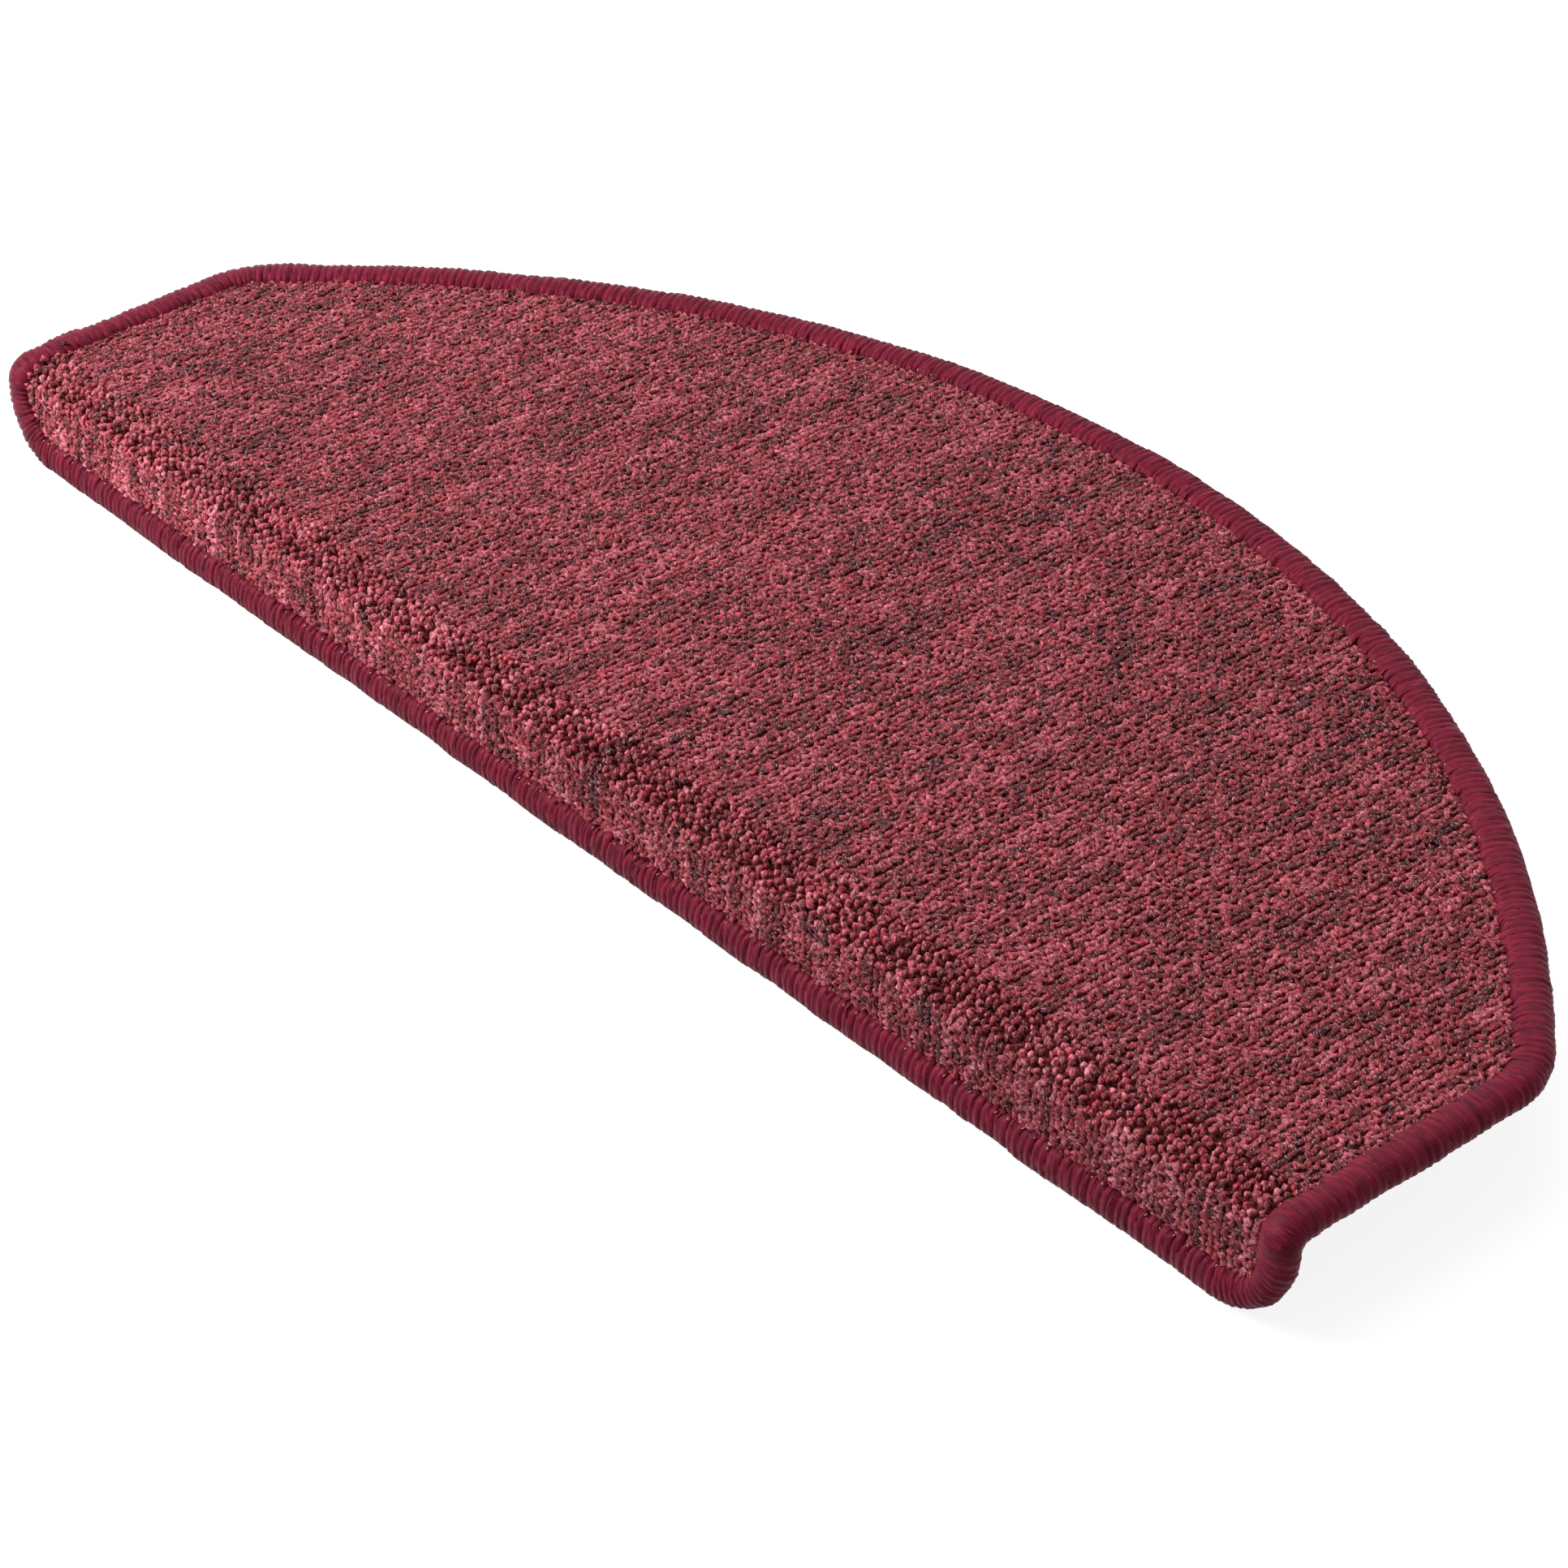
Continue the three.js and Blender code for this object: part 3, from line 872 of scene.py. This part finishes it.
# Normals of the corners: outward, but inward at the inner one, and tilted in the valleys
out_way = unit(corners[..., 3, :] - corners[..., 1, :])[..., None, :]
on_way = unit(corners[..., 2, :] - corners[..., 0, :])[..., None, :]
tilt = (slope + np.array([-0.14, 0, 0.14, 0]))[..., None]
side_sign = np.array([1, -1, 1, 1])[:, None]
strand_shape = corners.reshape(-1, 3), unit(side_sign * (out_way + on_way * tilt))
tone = (1 + 0.15 * rng.normal(size=len(strands))).clip(0.65, 1.4)
strand_piece = tubes(
    "binding_strands",
    centres,
    across,
    np.repeat(np.arange(len(strands)), rings),
    half.ravel(),
    flatness.ravel(),
    4,
    BINDING_TINT * np.repeat(tone, rings)[:, None],
    shape=strand_shape,
)
strand_piece.data.materials.append(binding_shader)

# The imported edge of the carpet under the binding's yarn
core_s = np.linspace(0, EDGE_LENGTH, 640, endpoint=False)
core_section = np.array(
    [(10.4, 1.3), (4.6, 1.0), (2.2, 1.9), (1.1, 4.6), (2.2, 7.3), (4.6, 8.2), (9.3, 7.4), (10.4, 6.2)]
)
core_inset = np.tile(core_section[:, 0], (len(core_s), 1))
core_height = core_section[:, 1]
u, v = edge(core_s[:, None], over_pile(core_s, core_inset, core_height))
core_points = wrap(u, v, core_height[None]).reshape(-1, 3)
index = np.arange(core_inset.size).reshape(core_inset.shape)
after, below = np.roll(index, -1, 0), np.roll(index, -1, 1)
core_faces = np.stack([index, below, np.roll(after, -1, 1), after], -1).reshape(-1, 4)
core = add_mesh("binding_core", core_points, [core_faces])
core_shader = Shader("binding_core")
core_noise = core_shader.noise(core_shader.object_place(), 1200.0)
core_colour = core_shader.ramp(core_noise, [(0.3, linear(84, 18, 32)), (0.7, linear(112, 26, 44))])
core_shader.link(core_colour, "Base Color")
core_shader.set(Roughness=0.85)
core.data.materials.append(core_shader.material)

# Needle thread: short specks between two turns, most of them in front

THREAD_RADIUS = 0.14
stitches = places[1::2] + 0.5 * np.gradient(places)[1::2]
v_at = edge(stitches, 10.6)[1]
seen_share = np.where(v_at < -18, 0.6, 0.12) * (corner_reach(stitches) > 0.99)
keep = rng.random(len(stitches)) < seen_share
stitches = stitches[keep] + rng.normal(size=keep.sum()) * 0.3
# The four rings of one speck. Some specks lean one way and some the other.
speck_s = np.array([-0.16, -0.06, 0.06, 0.18])
speck_inset = np.array([10.6, 10.8, 10.95, 11.1])
speck_height = 7.5 + np.array([-0.6, 0.0, 0.0, -0.6])
s = stitches[:, None] + speck_s * rng.choice([-1, 1], size=(len(stitches), 1))
u, v = edge(s, speck_inset + rng.normal(size=(len(stitches), 1)) * 0.3)
thread_height = speck_height + rng.normal(size=(len(stitches), 1)) * 0.25
thread_centres = wrap(u, v, thread_height).reshape(-1, 3)
# The way of a round yarn's width, where any will do
ANY_WAY = (0.31, 0.52, 0.8)
thread = tubes(
    "needle_thread",
    thread_centres,
    np.tile(ANY_WAY, (len(thread_centres), 1)),
    np.repeat(np.arange(len(stitches)), len(speck_s)),
    np.full(len(thread_centres), THREAD_RADIUS),
    np.full(len(thread_centres), THREAD_RADIUS),
    5,
    np.tile(linear(236, 224, 224), (len(thread_centres), 1)),
)
thread_shader = yarn_material(
    "needle_thread",
    girth=1.2,
    twist=0.5,
    filament=(0.15, 1.0),
    contrast=(0.9, 1.0, 1.05),
    fine=0.05,
    curl=(1.0, 0.95, 1.05),
    painted_glint=0.0,
    roughness=0.4,
    gloss=0.15,
    sheen=0.0,
    depth=0.00003,
)
thread.data.materials.append(thread_shader)

# Loose fibres on the pile, and the dark end of the binding's yarn at its seam

FIBRE_RADIUS = 0.07
KNOT_RADIUS = 0.4
PLAIN_FIBRES = [(278.1, 80.9), (263.0, 81.0), (-208.0, 2.7), (-260.8, 39.0)]
scattered = rng.uniform((-290, 8), (290, 205), size=(90, 2))
scattered = scattered[scattered[:, 1] < back_of(scattered[:, 0], 20)]
fibre_starts = np.concatenate([PLAIN_FIBRES, scattered])
turns = 6
heading = rng.uniform(0, 2 * math.pi, size=(len(fibre_starts), 1))
bend = rng.normal(size=(len(fibre_starts), 1)) * 0.35
heading = heading + bend * np.arange(turns)[None]
stride = rng.uniform(0.45, 1.2, size=(len(fibre_starts), 1))
u = fibre_starts[:, :1] + np.cumsum(np.cos(heading) * stride, 1)
v = fibre_starts[:, 1:] + np.cumsum(np.sin(heading) * stride, 1)
h = PILE_TOP + 0.15 + 0.35 * np.sin(np.linspace(0, math.pi, turns))[None] + 0 * u
knot = np.array([(-317.6, 10.2, 8.6), (-317.0, 11.2, 9.4), (-316.4, 12.2, 9.3), (-316.0, 13.0, 8.3)])
knots = [knot, knot + (0.8, -0.2, -0.2)]
fibre_of = np.repeat(np.arange(len(fibre_starts)), turns)
knot_of = np.repeat(np.arange(len(knots)), len(knot)) + len(fibre_starts)
knot_points = np.concatenate(knots)
radius = np.repeat([FIBRE_RADIUS, KNOT_RADIUS], [u.size, len(knot_points)])
fibre_tint = np.tile(linear(214, 176, 168), (u.size, 1))
knot_tint = np.tile(linear(58, 16, 28), (len(knot_points), 1))
fibres = tubes(
    "loose_fibres",
    np.concatenate([wrap(u, v, h).reshape(-1, 3), wrap(*knot_points.T)]),
    np.tile(ANY_WAY, (len(radius), 1)),
    np.concatenate([fibre_of, knot_of]),
    radius,
    radius,
    4,
    np.concatenate([fibre_tint, knot_tint]),
)
fibres.data.materials.append(pile_yarn)

# Felt backing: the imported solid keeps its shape

felt = Shader("anti_slip_felt")
felt_place = felt.object_place()
felt_noise = felt.noise(felt_place, 700.0, 4.0, distortion=1.4)
patches = felt.noise(felt_place, 45.0)
felt_colour = felt.ramp(felt_noise, [(0.3, linear(58, 53, 51)), (0.7, linear(112, 104, 99))])
felt.link(felt.multiply(felt_colour, felt.ramp(patches, [(0.3, 0.86), (0.7, 1.1)])), "Base Color")
felt.link(felt.bump(felt_noise, 0.0005), "Normal")
felt.set(Roughness=0.82, Sheen_Weight=0.2, Sheen_Roughness=0.5)
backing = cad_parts["anti_slip_backing"]
backing.data.materials.clear()
backing.data.materials.append(felt.material)

# What rides on what

for piece in [*pieces, ground, binding, strand_piece, core, thread, fibres]:
    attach(piece, "root")
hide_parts("loop_pile_carpet")
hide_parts("edge_binding")
float(cut_area(GROUND_INSET))

# Floor, light and camera


def seen_ray(tree):
    """1 for the rays that show the background itself: camera, glossy and transmission."""
    path = tree.nodes.new("ShaderNodeLightPath")
    found = path.outputs["Is Camera Ray"]
    for kind in ("Is Glossy Ray", "Is Transmission Ray"):
        either = tree.nodes.new("ShaderNodeMath")
        either.operation = "MAXIMUM"
        tree.links.new(found, either.inputs[0])
        tree.links.new(path.outputs[kind], either.inputs[1])
        found = either.outputs[0]
    return found


def stage_floor(height, half_size, grey, glow_strength):
    """A pale floor that looks white and keeps the shadow. Only seen_ray() sees its glow."""
    mesh = bpy.data.meshes.new("floor")
    r = half_size
    mesh.from_pydata([(-r, -r, 0), (r, -r, 0), (r, r, 0), (-r, r, 0)], [], [(0, 1, 2, 3)])
    floor = bpy.data.objects.new("floor", mesh)
    floor.location.z = height
    bpy.context.scene.collection.objects.link(floor)
    material = bpy.data.materials.new("floor")
    material.use_nodes = True
    tree = material.node_tree
    surface = tree.nodes["Principled BSDF"]
    surface.inputs["Base Color"].default_value = (grey, grey, grey, 1)
    surface.inputs["Roughness"].default_value = 1.0
    surface.inputs["Specular IOR Level"].default_value = 0.0
    glow = tree.nodes.new("ShaderNodeEmission")
    glow.inputs["Color"].default_value = (1, 1, 1, 1)
    level = tree.nodes.new("ShaderNodeMath")
    level.operation = "MULTIPLY"
    level.inputs[1].default_value = glow_strength
    tree.links.new(seen_ray(tree), level.inputs[0])
    tree.links.new(level.outputs[0], glow.inputs["Strength"])
    add = tree.nodes.new("ShaderNodeAddShader")
    tree.links.new(surface.outputs[0], add.inputs[0])
    tree.links.new(glow.outputs[0], add.inputs[1])
    tree.links.new(add.outputs[0], tree.nodes["Material Output"].inputs["Surface"])
    mesh.materials.append(material)


def world_light(strength):
    """Even white light. The background itself is seen at a strength of 1."""
    world = bpy.data.worlds.new("world")
    bpy.context.scene.world = world
    world.use_nodes = True
    tree = world.node_tree
    background = tree.nodes["Background"]
    background.inputs["Color"].default_value = (1, 1, 1, 1)
    mix = tree.nodes.new("ShaderNodeMix")
    factor, lighting, seen, result = mix.inputs[0], mix.inputs[2], mix.inputs[3], mix.outputs[0]
    lighting.default_value = strength
    seen.default_value = 1.0
    tree.links.new(seen_ray(tree), factor)
    tree.links.new(result, background.inputs["Strength"])


MAT_MIDDLE = (0, 0.08, 0)


def area_light(name, place, size, power):
    """A round soft lamp that shines on the middle of the mat."""
    light = bpy.data.lights.new(name, "AREA")
    light.shape = "DISK"
    light.size = size
    light.energy = power
    lamp = bpy.data.objects.new(name, light)
    lamp.location = place
    aim = Vector(MAT_MIDDLE) - Vector(place)
    lamp.rotation_mode = "QUATERNION"
    lamp.rotation_quaternion = aim.to_track_quat("-Z", "Y")
    bpy.context.scene.collection.objects.link(lamp)


stage_floor(height=-0.0286, half_size=6.0, grey=0.32, glow_strength=0.87)
world_light(0.3)
area_light("key", place=(-0.8, -0.75, 0.85), size=0.7, power=17.5)
area_light("top", place=(-0.1, 0.35, 1.5), size=0.9, power=6)

# The photograph's viewing angle
CAMERA_PLACE = (0.95325, -0.59567, 0.73951)
CAMERA_VIEW = (-0.674678, 0.477608, -0.562761)
CAMERA_UP = (-0.406126, 0.39644, 0.823345)
CAMERA_LENS = 101.714
CAMERA_SENSOR = 36.0

view, up = Vector(CAMERA_VIEW).normalized(), Vector(CAMERA_UP).normalized()
right = view.cross(up).normalized()
up = right.cross(view)
camera_data = bpy.data.cameras.new("camera")
camera_data.sensor_width = CAMERA_SENSOR
camera_data.lens = CAMERA_LENS
camera_data.clip_start, camera_data.clip_end = 0.01, 50
camera = bpy.data.objects.new("camera", camera_data)
camera_turn = Matrix((right, up, -view)).transposed().to_4x4()
camera.matrix_world = Matrix.Translation(CAMERA_PLACE) @ camera_turn
bpy.context.scene.collection.objects.link(camera)
bpy.context.scene.camera = camera
bpy.context.scene.view_settings.view_transform = "Standard"
